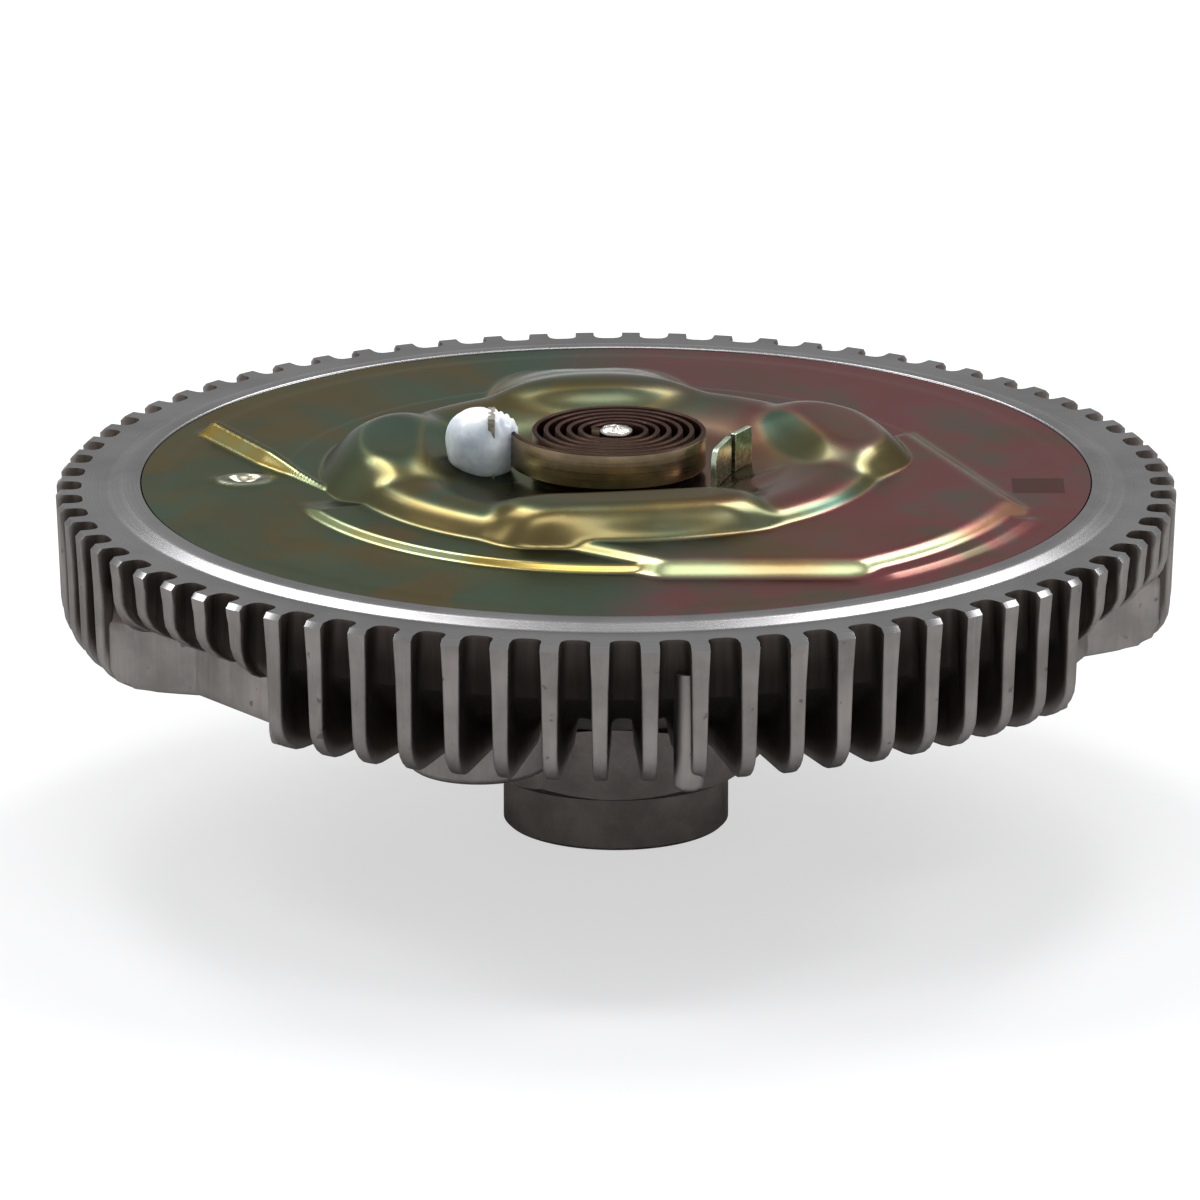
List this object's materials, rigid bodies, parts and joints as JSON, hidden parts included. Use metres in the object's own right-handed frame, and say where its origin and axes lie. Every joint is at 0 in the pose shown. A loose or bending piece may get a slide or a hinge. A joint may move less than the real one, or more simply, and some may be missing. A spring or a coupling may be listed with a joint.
{
  "type": "viscous fan clutch",
  "caption": "Viscous fan clutch with a finned aluminium housing, a stamped chromated cover, a bimetal coil that turns the valve, and a hexagon drive hub.",
  "frame": {"origin": "The centre of the hub's end face, where the clutch stands, on the axis of rotation.", "axes": "+Z runs along the axis of rotation, from the hub to the cover. The picture looks from -Y."},
  "size_m": [0.2, 0.2, 0.0759],
  "materials": {
    "cast_aluminium": "as cast, machined on the rim",
    "chromated_steel": "yellow chromate over zinc",
    "rubber": "matte",
    "plain_steel": "plain",
    "brass": "turned",
    "hub_steel": "oiled dark steel",
    "bright_steel": "bright",
    "bimetal": "brown bimetal strip",
    "silicone": "translucent sealant",
    "chromated_bracket": "green zinc passivate"
  },
  "bodies": {
    "housing": {"housing": "cast_aluminium", "front_cover": "chromated_steel", "cover_gasket": "rubber", "pump_plate": "plain_steel", "wiper_block": "brass", "wiper_rivet": "plain_steel", "bearing_outer_race": "plain_steel", "bearing_seal_rear": "rubber", "bearing_seal_front": "rubber", "bearing_retaining_ring": "plain_steel", "control_shaft_bush": "brass", "control_shaft_seal": "rubber", "bimetal_coil": "bimetal", "anchor_bracket": "bright_steel", "silicone_potting": "silicone", "stop_bracket": "chromated_bracket"},
    "drive": {"drive_shaft": "hub_steel", "rotor": "cast_aluminium", "rotor_retaining_ring": "plain_steel", "bearing_inner_race": "plain_steel"},
    "bearing_cage": {"bearing_balls": "plain_steel", "bearing_cage": "plain_steel"},
    "valve": {"control_shaft": "bright_steel", "valve_arm": "plain_steel"}
  },
  "joints": [
    {"name": "shaft_spin", "type": "hinge", "parent": "housing", "child": "drive", "pos_m": [0, 0, 0.03], "axis": [0, 0, 1], "continuous": true},
    {"name": "cage_spin", "type": "hinge", "parent": "housing", "child": "bearing_cage", "pos_m": [0, 0, 0.0365], "axis": [0, 0, 1], "continuous": true},
    {"name": "valve_turn", "type": "hinge", "parent": "housing", "child": "valve", "pos_m": [0, 0, 0.065], "axis": [0, 0, 1], "range_deg": [0, 40], "deforming": ["bimetal_coil"]}
  ],
  "couplings": [
    {"joint": "cage_spin", "follows": "shaft_spin", "ratio": 0.397}
  ]
}
